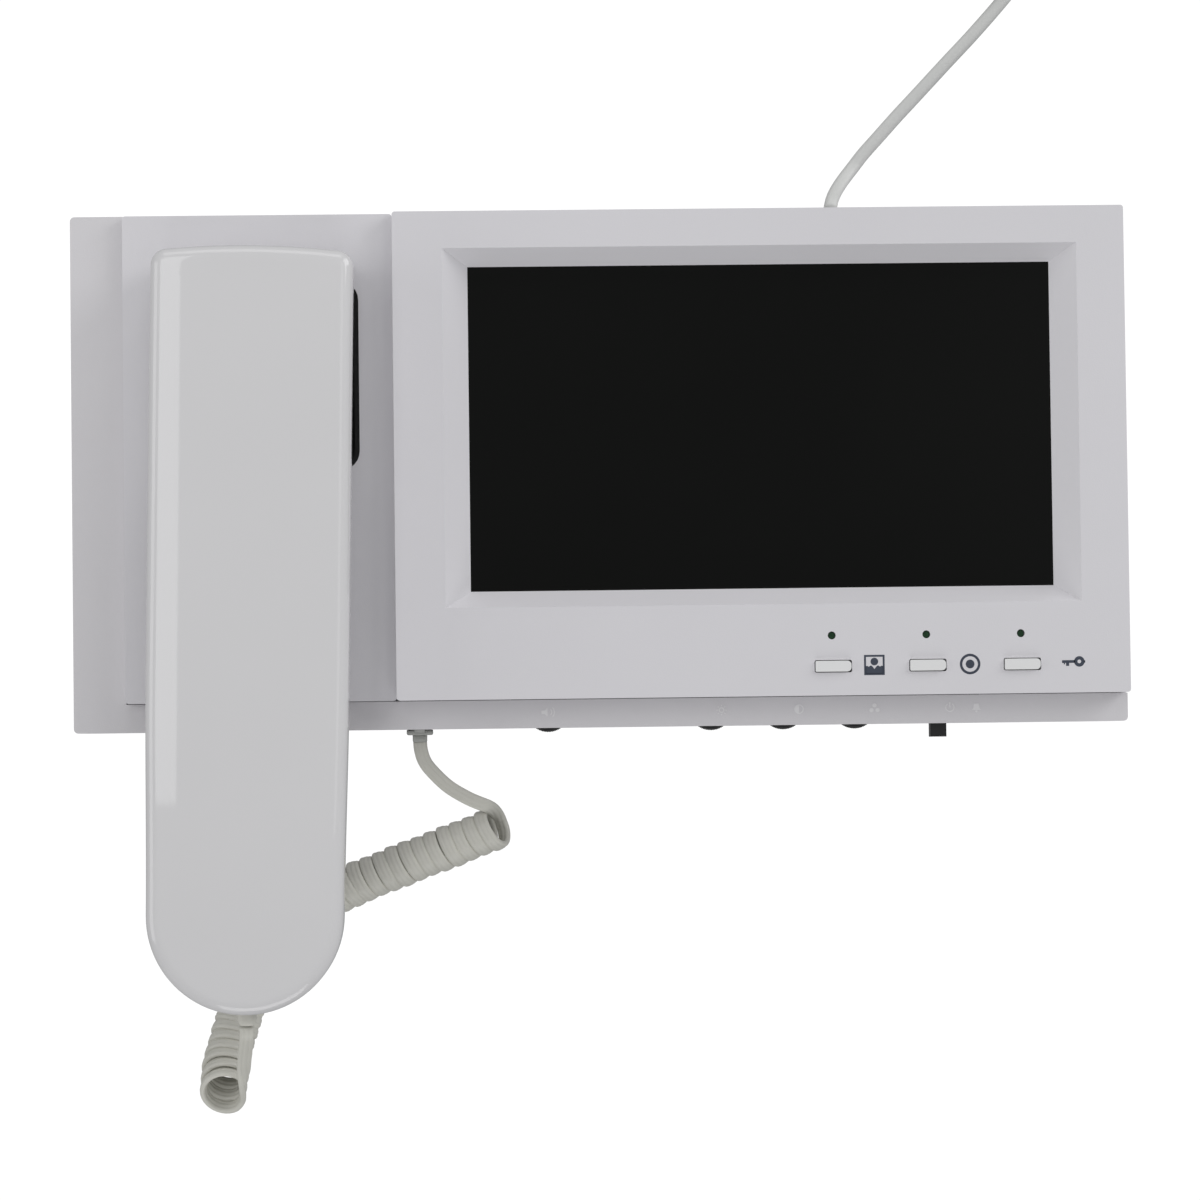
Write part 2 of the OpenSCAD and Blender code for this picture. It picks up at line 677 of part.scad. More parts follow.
module lead_gland() color("lightgray") translate([gland_c[0], 0, gland_c[1]]) rotate([-90, 0, 0])
    difference() {
        union() {
            translate([0, 0, body_y - wall_t - 1.5]) cylinder(r = 4.2, h = 1.4);
            translate([0, 0, body_y - wall_t - 0.2]) cylinder(r = 3.1, h = wall_t + 0.3);
            translate([0, 0, body_y + 0.1]) cylinder(r = 4.2, h = 1.4);
        }
        translate([0, 0, body_y - 6]) cylinder(r = lead_d / 2 + 0.1, h = 6);
    }

module lead_tube() color("lightgray") sweep(lead_route, lead_d / 2 - 0.02, 8);

module lead_coil() color("lightgray") translate([lead_coil_c[0], lead_coil_c[1], 0])
    rotate_extrude($fn = 64) polygon([
        [lead_coil_r[0], lead_coil_z[0]], [lead_coil_r[1], lead_coil_z[0]],
        [lead_coil_r[1], lead_coil_z[1]], [lead_coil_r[0], lead_coil_z[1]]
    ]);

module lead_tie() color("dimgray") translate([lead_coil_c[0], lead_coil_c[1], 0]) difference() {
    translate([-lead_coil_r[1] - 0.9, -2.5, 0])
        cube([lead_coil_r[1] - lead_coil_r[0] + 2, 5, lead_coil_z[1] + 0.6]);
    translate([-lead_coil_r[1] - 0.3, -3, lead_coil_z[0] - 0.1])
        cube([lead_coil_r[1] - lead_coil_r[0] + 0.8, 6, lead_coil_z[1] - lead_coil_z[0] + 0.2]);
}

module lead_end() color("lightgray") sweep(lead_end_route, lead_d / 2 - 0.02, 8);

// A slim two-pin plug lying flat: a wide nose that narrows to the cord
module mains_plug() color("lightgray") {
    x0 = plug_body[0][0];
    x1 = plug_body[1][0];
    y0 = plug_body[0][1];
    y1 = plug_body[1][1];
    linear_extrude(plug_body_t) polygon([
        [x0, y0], [x0 + 14, y0], [x1 - 4, (y0 + y1) / 2 - 6.5], [x1, (y0 + y1) / 2 - 5],
        [x1, (y0 + y1) / 2 + 5], [x1 - 4, (y0 + y1) / 2 + 6.5], [x0 + 14, y1], [x0, y1]
    ]);
}

module plug_pins() color("silver") for (s = [-1, 1])
    translate([plug_body[0][0] - pin_l, (plug_body[0][1] + plug_body[1][1]) / 2 + s * pin_pitch / 2, plug_body_t / 2])
        rotate([0, 90, 0]) cylinder(r = 2, h = pin_l);

wall_bracket();
rear_housing();
housing_screws();
cradle_panel();
cradle_well();
front_bezel();
screen_window();
lcd_panel();
lcd_frame();
display_board();
main_board();
board_screws();
processor_shield();
terminal_block();
terminal_screws();
power_board();
transformer();
mains_capacitor();
call_speaker();
button_board();
tact_switches();
status_leds();
monitor_button();
talk_button();
unlock_button();
control_board();
potentiometers();
volume_wheel();
brightness_wheel();
contrast_wheel();
colour_wheel();
slide_switch();
slider_knob();
line_jack();
hook_board();
hook_switch();
hook_lever();
hook_pin();
handset_front();
handset_back();
handset_screws();
earpiece();
microphone();
handset_weight();
handset_jack();
base_plug();
cord_tail();
cord_coil();
cord_riser();
handset_plug();
lead_gland();
lead_tube();
lead_coil();
lead_tie();
lead_end();
mains_plug();
plug_pins();
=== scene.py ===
# Looks of the wall intercom station: cords, handset, plastics, pictograms and studio.
import json
import math

import bpy
import bmesh
from mathutils import Matrix, Vector


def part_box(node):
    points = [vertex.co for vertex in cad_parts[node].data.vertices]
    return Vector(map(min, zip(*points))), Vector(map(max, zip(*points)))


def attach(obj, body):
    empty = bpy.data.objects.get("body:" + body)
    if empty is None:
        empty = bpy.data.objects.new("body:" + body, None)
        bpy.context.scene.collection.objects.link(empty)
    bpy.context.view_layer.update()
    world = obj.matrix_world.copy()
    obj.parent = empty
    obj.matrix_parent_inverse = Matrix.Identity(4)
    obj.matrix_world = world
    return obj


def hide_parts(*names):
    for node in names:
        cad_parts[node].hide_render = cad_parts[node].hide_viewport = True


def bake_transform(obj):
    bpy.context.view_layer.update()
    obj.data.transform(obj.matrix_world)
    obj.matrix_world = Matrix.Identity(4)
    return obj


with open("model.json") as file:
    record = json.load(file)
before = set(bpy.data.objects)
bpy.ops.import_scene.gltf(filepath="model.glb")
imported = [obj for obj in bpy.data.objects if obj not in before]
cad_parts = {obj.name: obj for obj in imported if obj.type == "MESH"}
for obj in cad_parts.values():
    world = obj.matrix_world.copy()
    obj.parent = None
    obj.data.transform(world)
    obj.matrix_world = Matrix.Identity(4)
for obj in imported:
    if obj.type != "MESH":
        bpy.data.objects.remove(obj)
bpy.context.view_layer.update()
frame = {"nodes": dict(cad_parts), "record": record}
MM = 0.001
UP = Vector((0, 0, 1))


# ---------------------------------------------------------------- helpers
def link(name, mesh):
    """A new object of the scene that shows a mesh."""
    obj = bpy.data.objects.new(name, mesh)
    bpy.context.scene.collection.objects.link(obj)
    return obj


def mesh_piece(name, points, faces, smooth=True):
    """A mesh from points in millimetres."""
    mesh = bpy.data.meshes.new(name)
    mesh.from_pydata([Vector(p) * MM for p in points], [], faces)
    bm = bmesh.new()
    bm.from_mesh(mesh)
    bmesh.ops.recalc_face_normals(bm, faces=bm.faces)
    bm.to_mesh(mesh)
    bm.free()
    mesh.polygons.foreach_set("use_smooth", [smooth] * len(mesh.polygons))
    return link(name, mesh)


def loft(rings, cap_end=True):
    """Points and faces of closed rings joined in order, with flat caps."""
    n = len(rings[0])
    points = [p for ring in rings for p in ring]
    faces = []
    for i in range(len(rings) - 1):
        for k in range(n):
            m = (k + 1) % n
            faces.append((i * n + k, (i + 1) * n + k, (i + 1) * n + m, i * n + m))
    faces.append(tuple(range(n)))
    if cap_end:
        faces.append(tuple((len(rings) - 1) * n + k for k in range(n)))
    return points, faces


def smoothstep(t):
    """An eased step from 0 to 1 as t goes from 0 to 1."""
    t = max(0.0, min(1.0, t))
    return t * t * (3 - 2 * t)


def spline(points, step):
    """Points about step apart on a smooth curve through the given points."""
    pts = [Vector(p) for p in points]
    pts = [2 * pts[0] - pts[1]] + pts + [2 * pts[-1] - pts[-2]]
    out = []
    for i in range(1, len(pts) - 2):
        a, b, c, d = pts[i - 1], pts[i], pts[i + 1], pts[i + 2]
        n = max(2, math.ceil((c - b).length / step))
        for k in range(n):
            t = k / n
            out.append(0.5 * ((2 * b) + (c - a) * t + (2 * a - 5 * b + 4 * c - d) * t * t
                              + (3 * b - 3 * c + d - a) * t * t * t))
    out.append(pts[-2].copy())
    return out


def at_length(points, s):
    """The point s along a line of points, and the direction there."""
    for a, b in zip(points, points[1:]):
        step = (b - a).length
        if s <= step:
            return a + (b - a) * (s / step), (b - a).normalized()
        s -= step
    d = (points[-1] - points[-2]).normalized()
    return points[-1] + d * s, d


def length_of(points):
    """The length along a line of points."""
    return sum((b - a).length for a, b in zip(points, points[1:]))


def direction(path, i):
    """The direction of a line of points at its point i."""
    return (path[min(i + 1, len(path) - 1)] - path[max(i - 1, 0)]).normalized()


def band(path, wides, section):
    """Rings of a section (across, out) along a path, its width along the given directions."""
    rings = []
    for i, p in enumerate(path):
        t = direction(path, i)
        w = wides[i] - t * wides[i].dot(t)
        w.normalize()
        o = w.cross(t)
        rings.append([p + w * a + o * b for a, b in section])
    return rings


def oval(width, height, sides, power):
    """A closed outline between an ellipse, at power 2, and a rectangle, at a high power."""
    out = []
    for k in range(sides):
        a = 2 * math.pi * k / sides
        c, s = math.cos(a), math.sin(a)
        out.append((width / 2 * math.copysign(abs(c) ** (2 / power), c),
                    height / 2 * math.copysign(abs(s) ** (2 / power), s)))
    return out


# ---------------------------------------------------------------- materials
MOTTLE_SCALE = 22          # broad patches per metre
GRAIN_DEPTH = 0.0001       # metres, at grain 1


def material(name, color, rough, grain=0.0, grain_size=0.4, mottle=0.02, rough_mottle=0.04,
             coat=0.0, coat_rough=0.05, specular=0.5, transmission=0.0, metallic=0.0, streak=None):
    """A plastic or metal with faint broad patches of tone and sheen, and a fine grain.

    grain_size is in millimetres; streak stretches the patches along an axis.
    """
    mat = bpy.data.materials.new(name)
    mat.use_nodes = True
    tree = mat.node_tree
    tree.nodes.clear()
    out = tree.nodes.new("ShaderNodeOutputMaterial")
    shader = tree.nodes.new("ShaderNodeBsdfPrincipled")
    tree.links.new(shader.outputs["BSDF"], out.inputs["Surface"])
    shader.inputs["Metallic"].default_value = metallic
    shader.inputs["IOR"].default_value = 1.5
    shader.inputs["Specular IOR Level"].default_value = specular
    shader.inputs["Coat Weight"].default_value = coat
    shader.inputs["Coat Roughness"].default_value = coat_rough
    shader.inputs["Transmission Weight"].default_value = transmission
    where = tree.nodes.new("ShaderNodeTexCoord")
    spread = tree.nodes.new("ShaderNodeMapping")
    if streak:
        spread.inputs["Scale"].default_value = streak
    tree.links.new(where.outputs["Object"], spread.inputs["Vector"])
    broad = tree.nodes.new("ShaderNodeTexNoise")
    broad.inputs["Scale"].default_value = MOTTLE_SCALE
    broad.inputs["Detail"].default_value = 5
    tree.links.new(spread.outputs["Vector"], broad.inputs["Vector"])
    ramp = tree.nodes.new("ShaderNodeValToRGB")
    ramp.color_ramp.elements[0].position = 0.3
    ramp.color_ramp.elements[1].position = 0.7
    ramp.color_ramp.elements[0].color = [c * (1 - mottle) for c in color] + [1]
    ramp.color_ramp.elements[1].color = [min(1, c * (1 + mottle)) for c in color] + [1]
    tree.links.new(broad.outputs["Fac"], ramp.inputs["Fac"])
    tree.links.new(ramp.outputs["Color"], shader.inputs["Base Color"])
    level = tree.nodes.new("ShaderNodeMapRange")
    level.inputs["To Min"].default_value = max(0.02, rough - rough_mottle)
    level.inputs["To Max"].default_value = rough + rough_mottle
    tree.links.new(broad.outputs["Fac"], level.inputs["Value"])
    tree.links.new(level.outputs["Result"], shader.inputs["Roughness"])
    if grain:
        fine = tree.nodes.new("ShaderNodeTexNoise")
        fine.inputs["Scale"].default_value = 1 / (grain_size * MM)
        fine.inputs["Detail"].default_value = 3
        tree.links.new(where.outputs["Object"], fine.inputs["Vector"])
        bump = tree.nodes.new("ShaderNodeBump")
        bump.inputs["Strength"].default_value = grain
        bump.inputs["Distance"].default_value = GRAIN_DEPTH
        tree.links.new(fine.outputs["Fac"], bump.inputs["Height"])
        tree.links.new(bump.outputs["Normal"], shader.inputs["Normal"])
    return mat


HOUSING = material("housing_abs", (0.715, 0.70, 0.72), 0.42,
                   grain=0.25, grain_size=0.35, mottle=0.012)
PANEL = material("panel_abs", (0.75, 0.737, 0.765), 0.34,
                 grain=0.22, grain_size=0.35, mottle=0.01)
HANDSET = material("handset_abs", (0.735, 0.727, 0.735), 0.36, grain=0.02, grain_size=1.5,
                   mottle=0.008, coat=1.0, coat_rough=0.035, specular=0.2)
BUTTON = material("button_abs", (0.84, 0.84, 0.84), 0.3, grain=0.1, grain_size=0.3, mottle=0.01)
BLACK = material("black_abs", (0.018, 0.018, 0.018), 0.45, grain=0.3, grain_size=0.3, mottle=0.15)
DARK = material("dark_nylon", (0.07, 0.07, 0.07), 0.5, grain=0.3, grain_size=0.3, mottle=0.1)
SCREEN = material("smoked_window", (0.003, 0.0032, 0.0028), 0.3,
                  mottle=0.08, rough_mottle=0.01, specular=0.15)
LCD = material("lcd_glass", (0.02, 0.02, 0.024), 0.1, mottle=0.05, rough_mottle=0.01)
STEEL = material("zinc_steel", (0.6, 0.6, 0.62), 0.32, grain=0.2, grain_size=0.5, mottle=0.06,
                 metallic=1.0, streak=(1, 12, 12))
BOARD = material("solder_mask", (0.03, 0.16, 0.07), 0.35, grain=0.25, grain_size=0.6, mottle=0.12)
GREEN = material("terminal_nylon", (0.07, 0.3, 0.13), 0.5, grain=0.3, grain_size=0.3, mottle=0.05)
WINDING = material("winding_tape", (0.55, 0.33, 0.06), 0.4, grain=0.3, grain_size=0.5, mottle=0.1)
SLEEVE = material("capacitor_sleeve", (0.02, 0.03, 0.12), 0.3,
                  grain=0.1, grain_size=0.4, mottle=0.1)
LAMP = material("lamp_resin", (0.012, 0.06, 0.02), 0.12, mottle=0.2, rough_mottle=0.02)
CLEAR = material("clear_plug", (0.50, 0.51, 0.485), 0.16, grain=0.08, grain_size=0.8,
                 mottle=0.06, transmission=0.35)
CORD = material("cord_pvc", (0.66, 0.65, 0.59), 0.42, grain=0.08, grain_size=0.6, mottle=0.03)
LEAD = material("lead_pvc", (0.68, 0.685, 0.67), 0.42, grain=0.06, grain_size=0.6, mottle=0.015)
# the raised marks: the housing's plastic painted lighter, a painted highlight on the raised marks
MARK_PAINTED_HIGHLIGHT = material("raised_mark_painted_highlight", (0.84, 0.83, 0.84), 0.38,
                  grain=0.1, grain_size=0.35, mottle=0.01)
INK = material("printed_ink", (0.045, 0.055, 0.08), 0.5, grain=0.2, grain_size=0.2, mottle=0.12)

SLOT_LOOKS = {
    "housing_white": HOUSING, "panel_white": PANEL, "button_white": BUTTON,
    "handset_white": HANDSET, "black_plastic": BLACK, "dark_plastic": DARK,
    "screen_black": SCREEN, "lcd_glass": LCD, "steel": STEEL, "circuit_board": BOARD,
    "terminal_green": GREEN, "copper_winding": WINDING, "capacitor_sleeve": SLEEVE,
    "lamp_green": LAMP, "clear_plastic": CLEAR, "cord_grey": CORD, "lead_grey": LEAD,
}


def dress(obj, mat):
    """Gives an object one material."""
    obj.data.materials.clear()
    obj.data.materials.append(mat)
    return obj


def piece(name, points, faces, mat, body=None, smooth=True):
    """A new piece with its material, riding on a body where one is named."""
    obj = dress(mesh_piece(name, points, faces, smooth), mat)
    if body:
        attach(obj, body)
    return obj


def soften(node, width, segments=3):
    """Rounds the sharp edges of a CAD piece, after joining the triangles of its flat faces."""
    obj = frame["nodes"][node]
    tidy = obj.modifiers.new("flat_faces", "DECIMATE")
    tidy.decimate_type = "DISSOLVE"
    tidy.angle_limit = math.radians(0.6)
    edge = obj.modifiers.new("edges", "BEVEL")
    edge.width = width * MM
    edge.segments = segments
    edge.limit_method = "ANGLE"
    edge.angle_limit = math.radians(28)
    edge.harden_normals = False
    edge.miter_outer = "MITER_ARC"
    for p in obj.data.polygons:
        p.use_smooth = True
    normals = obj.modifiers.new("normals", "WEIGHTED_NORMAL")
    normals.keep_sharp = True
    normals.weight = 100


slot_of = {part["node"]: part["material_slot"] for part in frame["record"]["subparts"]}
for node, obj in frame["nodes"].items():
    dress(obj, SLOT_LOOKS[slot_of[node]])

# ---------------------------------------------------------------- handset cord
CORD_W, CORD_T = 3.7, 1.7                 # the flat cord's section
GROOVE_AT, GROOVE_W, GROOVE_D = 0.68, 0.15, 0.16   # two grooves along each flat side
COIL_R, PITCH = 4.95, 3.44                # radius of the coil's middle line, and its pitch
COIL_STEPS = 32                           # points in one turn
LEAD_IN = 0.36                            # share of a turn before the coil proper
COIL_LEAN = math.radians(11)              # how far the flat section leans in a ring

# from the jack in the housing, along the coil's axis, and up to the handset
TAIL = [(-48.5, -71.2, 13), (-48.3, -73.6, 12.8), (-47.4, -76.6, 12.1), (-45.4, -79.4, 11.4),
        (-41.2, -83.5, 10.6), (-36.2, -86.6, 10.2), (-32.2, -88.4, 9.8), (-29.0, -89.6, 8.6)]
AXIS = [(-28.9, -95.0, 6.3), (-38, -98.6, 6.2), (-48, -102.3, 6.2), (-58, -106.1, 6.2),
        (-68, -110.1, 6.2), (-77, -114.9, 6.2), (-84.8, -121, 6.2), (-90.6, -129, 6.6),
        (-95.2, -138.5, 7.6), (-98.8, -148, 9.6), (-100.9, -157, 12.8), (-101.6, -164.3, 16.4)]
RISER = [(-96.2, -163.2, 19.2), (-95.6, -158, 24.6), (-94.9, -153.4, 30), (-94.2, -149.8, 34.6),
         (-93.9, -147.4, 37.2), (-93.8, -145.0, 38)]


def along_coil(turn, turns, whole):
    """How far along the axis a turn lies: closer before the coil, a little uneven within it."""
    f = turn / turns
    if f < 0:
        return whole * 0.45 * f
    return whole * (f + 0.024 * math.sin(math.pi * f))


def ring_tilt(turn, share):
    """How far a ring tips back from upright: more towards the handset's end."""
    wobble = 3 * math.sin(turn * 2.4) + 2 * math.sin(turn * 5.3 + 1)
    tilt = -20 + 6 * smoothstep(share / 0.12) + wobble * 0.5
    tilt += 18 * smoothstep((share - 0.5) / 0.28) + 50 * smoothstep((share - 0.74) / 0.26)
    return math.radians(tilt)


def ring_radius(turn, share):
    """The rings differ slightly and widen near the handset's end."""
    return COIL_R + 0.12 * math.sin(turn * 1.7 + 2) + 0.45 * smoothstep((share - 0.7) / 0.25)


def coil_points():
    """The coil's points and the directions of its width."""
    axis = spline(AXIS, 1.0)
    whole = length_of(axis)
    turns = round(whole / PITCH)
    path, wides = [], []
    for k in range(-round(LEAD_IN * COIL_STEPS), turns * COIL_STEPS + 1):
        turn = k / COIL_STEPS
        s = along_coil(turn, turns, whole)
        if s > 0:
            centre, along = at_length(axis, s)
        else:
            along = (axis[1] - axis[0]).normalized()
            centre = axis[0] + along * s
        d = Vector((along.x, along.y, 0)).normalized()
        tilt, theta = ring_tilt(turn, s / whole), math.radians(-180 - 360 * turn)
        side = UP.cross(-d)
        top = -d * math.sin(tilt) + UP * math.cos(tilt)
        normal = d * math.cos(tilt) + UP * math.sin(tilt)
        radial = side * math.cos(theta) + top * math.sin(theta)
        path.append(centre + radial * ring_radius(turn, s / whole))
        wides.append(normal * math.cos(COIL_LEAN) + radial * math.sin(COIL_LEAN))
    return path, wides


def averaged(values, low, high):
    """Each value from low to high, blended with its neighbours."""
    return [(values[i - 1] + values[i] * 2 + values[i + 1]) / 4 for i in range(low, high)]


def cord_route():
    """The whole cord's points, and the directions of its width."""
    path = spline(TAIL, 1.0)
    wides = [direction(path, i).cross(UP) for i in range(len(path))]
    first = len(path)
    coil, coil_wides = coil_points()
    path, wides = path + coil, wides + coil_wides
    last = len(path)
    riser = spline([path[-1]] + RISER, 1.0)[1:]
    turn_from = wides[-1]
    for i, p in enumerate(riser):
        t = smoothstep(i / (0.55 * len(riser)))
        path.append(p)
        wides.append(turn_from * (1 - t) + Vector((-1, 0, 0)) * t)
    # even out the joins of the straight stretches with the coil
    for _ in range(4):
        for low, high in ((first - 7, first + 5), (last - 4, last + 5)):
            path[low:high] = averaged(path, low, high)
    for _ in range(10):
        for low, high in ((first - 9, first + 8), (last - 4, last + 9)):
            wides[low:high] = [w.normalized() for w in averaged(wides, low, high)]
    return path, wides


def cord_section():
    """A flat section with two fine grooves along each wide side."""
    out = []
    for a, b in oval(CORD_W, CORD_T, 48, 2.7):
        groove = GROOVE_D * math.exp(-((abs(a) - GROOVE_AT) / GROOVE_W) ** 2)
        out.append((a, b - math.copysign(groove, b) if abs(b) > 0.5 else b))
    return out


route, wides = cord_route()
points, faces = loft(band(route, wides, cord_section()))
cord = piece("handset_cord", points, faces, CORD)
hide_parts("cord_tail", "cord_coil", "cord_riser")
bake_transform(cord)

# ---------------------------------------------------------------- supply lead
LEAD_W, LEAD_T = 3.6, 2.7                 # the lead's oval section
LEAD_ROUTE = [(63.3, 70.4, 12), (63.9, 72.8, 10.6), (65.2, 75.6, 7.4), (67.4, 79, 4.2),
              (70.4, 82.9, 1.9), (73.4, 86.7, 1.5), (77.5, 91.2, 1.5), (82.4, 96.6, 1.5),
              (88, 102.5, 1.5), (96, 111, 1.5), (104, 119.4, 1.5), (112, 128.4, 1.5),
              (120.4, 138.6, 1.6)]
LEAD_END = [(105.5, 187.2, 10.2), (100, 187.6, 9.4), (93.5, 186.2, 8.2), (87, 183.8, 7.2),
            (82, 182.4, 6.8), (77.2, 182, 6.8)]
LEAD_CENTRE = (107, 162)                  # the round coil of spare lead
LEAD_RADII, LEAD_HEIGHTS = (17.45, 21.1, 24.75), (2.1, 4.9, 7.7, 10.5)
LEAD_TURNS, LEAD_STEPS = 10 + 1 / 12, 40
LEAD_START = math.radians(-30)
SHIFT_FROM = 0.72                         # share of a turn after which the lead shifts over


def lead_coil():
    """Turns laid side by side, in and out, one layer on the other: (radius, height) each."""
    places = [(2, 0), (1, 0), (0, 0), (0, 1), (1, 1), (2, 1), (2, 2), (1, 2), (0, 2),
              (0, 3), (1, 3)]
    coil = []
    for k in range(int(LEAD_TURNS * LEAD_STEPS) + 1):
        turn = k / LEAD_STEPS
        i = min(int(turn), len(places) - 1)
        t = smoothstep((turn - i - SHIFT_FROM) / (1 - SHIFT_FROM))
        a, b = places[i], places[min(i + 1, len(places) - 1)]
        r = LEAD_RADII[a[0]] * (1 - t) + LEAD_RADII[b[0]] * t
        z = LEAD_HEIGHTS[a[1]] * (1 - t) + LEAD_HEIGHTS[b[1]] * t
        angle = LEAD_START + 2 * math.pi * turn
        coil.append(Vector((LEAD_CENTRE[0] + r * math.cos(angle),
                            LEAD_CENTRE[1] + r * math.sin(angle), z)))
    return coil


def lead_route():
    """The lead from the housing, round its coil and into the plug."""
    coil = lead_coil()
    front = spline(LEAD_ROUTE + coil[:1], 1.5)[:-1]
    back = spline(coil[-1:] + LEAD_END, 1.5)[1:]
    return front + coil + back


lead_path = lead_route()
lead_wides = [UP.cross(direction(lead_path, i)).normalized() for i in range(len(lead_path))]
points, faces = loft(band(lead_path, lead_wides, oval(LEAD_W, LEAD_T, 18, 2.3)))
lead = piece("supply_lead", points, faces, LEAD, "base")
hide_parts("lead_tube", "lead_coil", "lead_end")

# ---------------------------------------------------------------- handset
LEAN = math.radians(-1.15)                # how far it is turned on its cradle
HAND = Vector((-91.7, -42.3, 0))          # its centre
H_W, H_L = 52.2, 199.0                    # width and length
NARROW = 0.7                              # each side of the lower half is this much further in
KNEE = -12.0                              # where the sides start to draw in
CORNER, BOW, CORNER_ARC = 4.2, 1.0, 84    # top corners, and the rise of the top edge
LOW = -H_L / 2 + H_W / 2                  # centre of the round lower end
TOP_Z, SEAM_Z, BACK_Z, PLUG_Z = 55, 43, 31.0, 38   # heights of its face, seam, back and plug


def outline(inset):
    """The handset's outline in its own plane, drawn in by inset, from the left side of the
    round end, along the bottom and up the right side."""
    h, top = H_W / 2 - inset, H_L / 2 - inset
    corner = max(CORNER - inset, 0.7)
    side_top = top - BOW - corner
    pts = []
    for k in range(45):
        a = math.pi + math.pi * k / 44
        pts.append(((h - NARROW) * math.cos(a), LOW + (h - NARROW) * math.sin(a)))
    for k in range(1, 21):
        pts.append((h - NARROW + NARROW * smoothstep(k / 20), LOW + (KNEE - LOW) * k / 20))
    for k in range(1, 21):
        pts.append((h, KNEE + (side_top - KNEE) * k / 20))
    for k in range(1, 9):
        a = math.radians(CORNER_ARC * k / 8)
        pts.append((h - corner + corner * math.cos(a), side_top + corner * math.sin(a)))
    x_end, y_end = pts[-1]
    for k in range(1, 16):
        x = x_end * (1 - 2 * k / 16)
        pts.append((x, y_end + (top - y_end) * (1 - (x / x_end) ** 2)))
    for k in range(0, 9):
        a = math.radians(180 - CORNER_ARC + CORNER_ARC * k / 8)
        pts.append((-h + corner + corner * math.cos(a), side_top + corner * math.sin(a)))
    for k in range(1, 21):
        pts.append((-h, side_top + (KNEE - side_top) * k / 20))
    for k in range(1, 20):
        pts.append((-h + NARROW * smoothstep(k / 20), KNEE + (LOW - KNEE) * k / 20))
    return pts


def to_handset(x, y, z):
    """A point of the handset's own plane in the frame."""
    c, s = math.cos(LEAN), math.sin(LEAN)
    return Vector((HAND.x + x * c - y * s, HAND.y + x * s + y * c, z))


def front_drop(x, y):
    """How far the face falls away from its highest line: across, and towards both ends."""
    across = 1.25 * (abs(x) / (H_W / 2)) ** 2.3
    low = 1.6 * max(0.0, (-45 - y) / 54) ** 2.2
    high = 0.7 * max(0.0, (y - 55) / 44) ** 2
    return across + low + high


def ring(inset, height):
    """The outline at an inset, at the height that a function gives for each of its points."""
    return [to_handset(x, y, height(x, y)) for x, y in outline(inset)]


def close_across(rings):
    """The rings joined in order, the last closed by strips across that keep its curve."""
    points, faces = loft(rings, cap_end=False)
    n = len(rings[0])
    first, half = len(points) - n, n // 2
    bottom = 22                           # the outline's lowest point; it is even on both sides
    for k in range(bottom, bottom + half):
        strip = [first + i % n for i in (k, k + 1, 2 * bottom - 1 - k, 2 * bottom - k)]
        faces.append(tuple(dict.fromkeys(strip)))
    return points, faces


def handset_front():
    """The upper shell: a slim step at the seam, an elliptical edge and the face."""
    wide, deep = 3.5, 2.7
    rings = [ring(inset, lambda x, y: SEAM_Z + up)
             for inset, up in ((0.5, 0.12), (0.22, 0.15), (0.02, 0.32), (0.0, 0.6))]
    for k in range(9):
        a = math.pi / 2 * k / 8
        inset, drop = wide * (1 - math.cos(a)), deep * (1 - math.sin(a))
        rings.append(ring(inset, lambda x, y: TOP_Z - drop - front_drop(x, y)))
    for inset in (4.2, 5.2, 6.7, 8.5, 11, 13.5, 16, 18.5, 20.5, 22.2, 23.4, 24.2):
        rings.append(ring(inset, lambda x, y: TOP_Z - front_drop(x, y)))
    return close_across(rings)


def grip_z(_, y):
    """The height of the back face: an arch over the grip."""
    half, rise, mid = 50.0, 7.0, -2.0
    r = (half * half + rise * rise) / (2 * rise)
    if abs(y - mid) >= half:
        return BACK_Z
    return BACK_Z + rise - r + math.sqrt(r * r - (y - mid) ** 2)


def handset_back():
    """The lower shell: the seam, a round edge and the arched grip."""
    edge, side = 2.4, 0.4
    rings = [ring(inset, lambda x, y: SEAM_Z - down)
             for inset, down in ((0.75, 0.02), (0.5, 0.05), (side, 0.3))]
    for k in range(7):
        a = math.pi / 2 * k / 6
        inset, drop = side + edge * (1 - math.cos(a)), edge * (1 - math.sin(a))
        rings.append(ring(inset, lambda x, y: grip_z(x, y) + drop))
    for inset in (4.2, 6.5, 9, 12, 15, 18, 21, 23, 24.2):
        rings.append(ring(inset, grip_z))
    return close_across(rings)


def pod(y0, radius, lip_z):
    """A round pod under the handset, with a rounded lip and a fillet where it meets the body."""
    fillet, lip, sides = 1.4, 2.4, 56
    profile = [(radius + 0.2, BACK_Z + 1.5), (radius + 0.2, BACK_Z + 0.4)]
    for k in range(5):
        a = math.pi / 2 * k / 4
        profile.append((radius + fillet * (1 - math.sin(a)), BACK_Z - fillet * (1 - math.cos(a))))
    for k in range(1, 8):
        a = math.pi / 2 * k / 7
        profile.append((radius - lip * (1 - math.cos(a)), lip_z + lip * (1 - math.sin(a))))
    profile += [(radius * 0.75, lip_z + 0.15), (radius * 0.62, lip_z + 0.5)]
    turn = [2 * math.pi * k / sides for k in range(sides)]
    return loft([[to_handset(r * math.cos(a), y0 + r * math.sin(a), z) for a in turn]
                 for r, z in profile])


points, faces = handset_front()
shell = piece("handset_front_shell", points, faces, HANDSET, "handset")
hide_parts("handset_front")
points, faces = handset_back()
back = piece("handset_back_shell", points, faces, HANDSET, "handset")
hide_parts("handset_back")
for name, y0, radius, lip_z in (("ear_pod", 69.3, 21, 20.6), ("mouth_pod", -72, 20, 25.5)):
    points, faces = pod(y0, radius, lip_z)
    piece(name, points, faces, HANDSET, "handset")

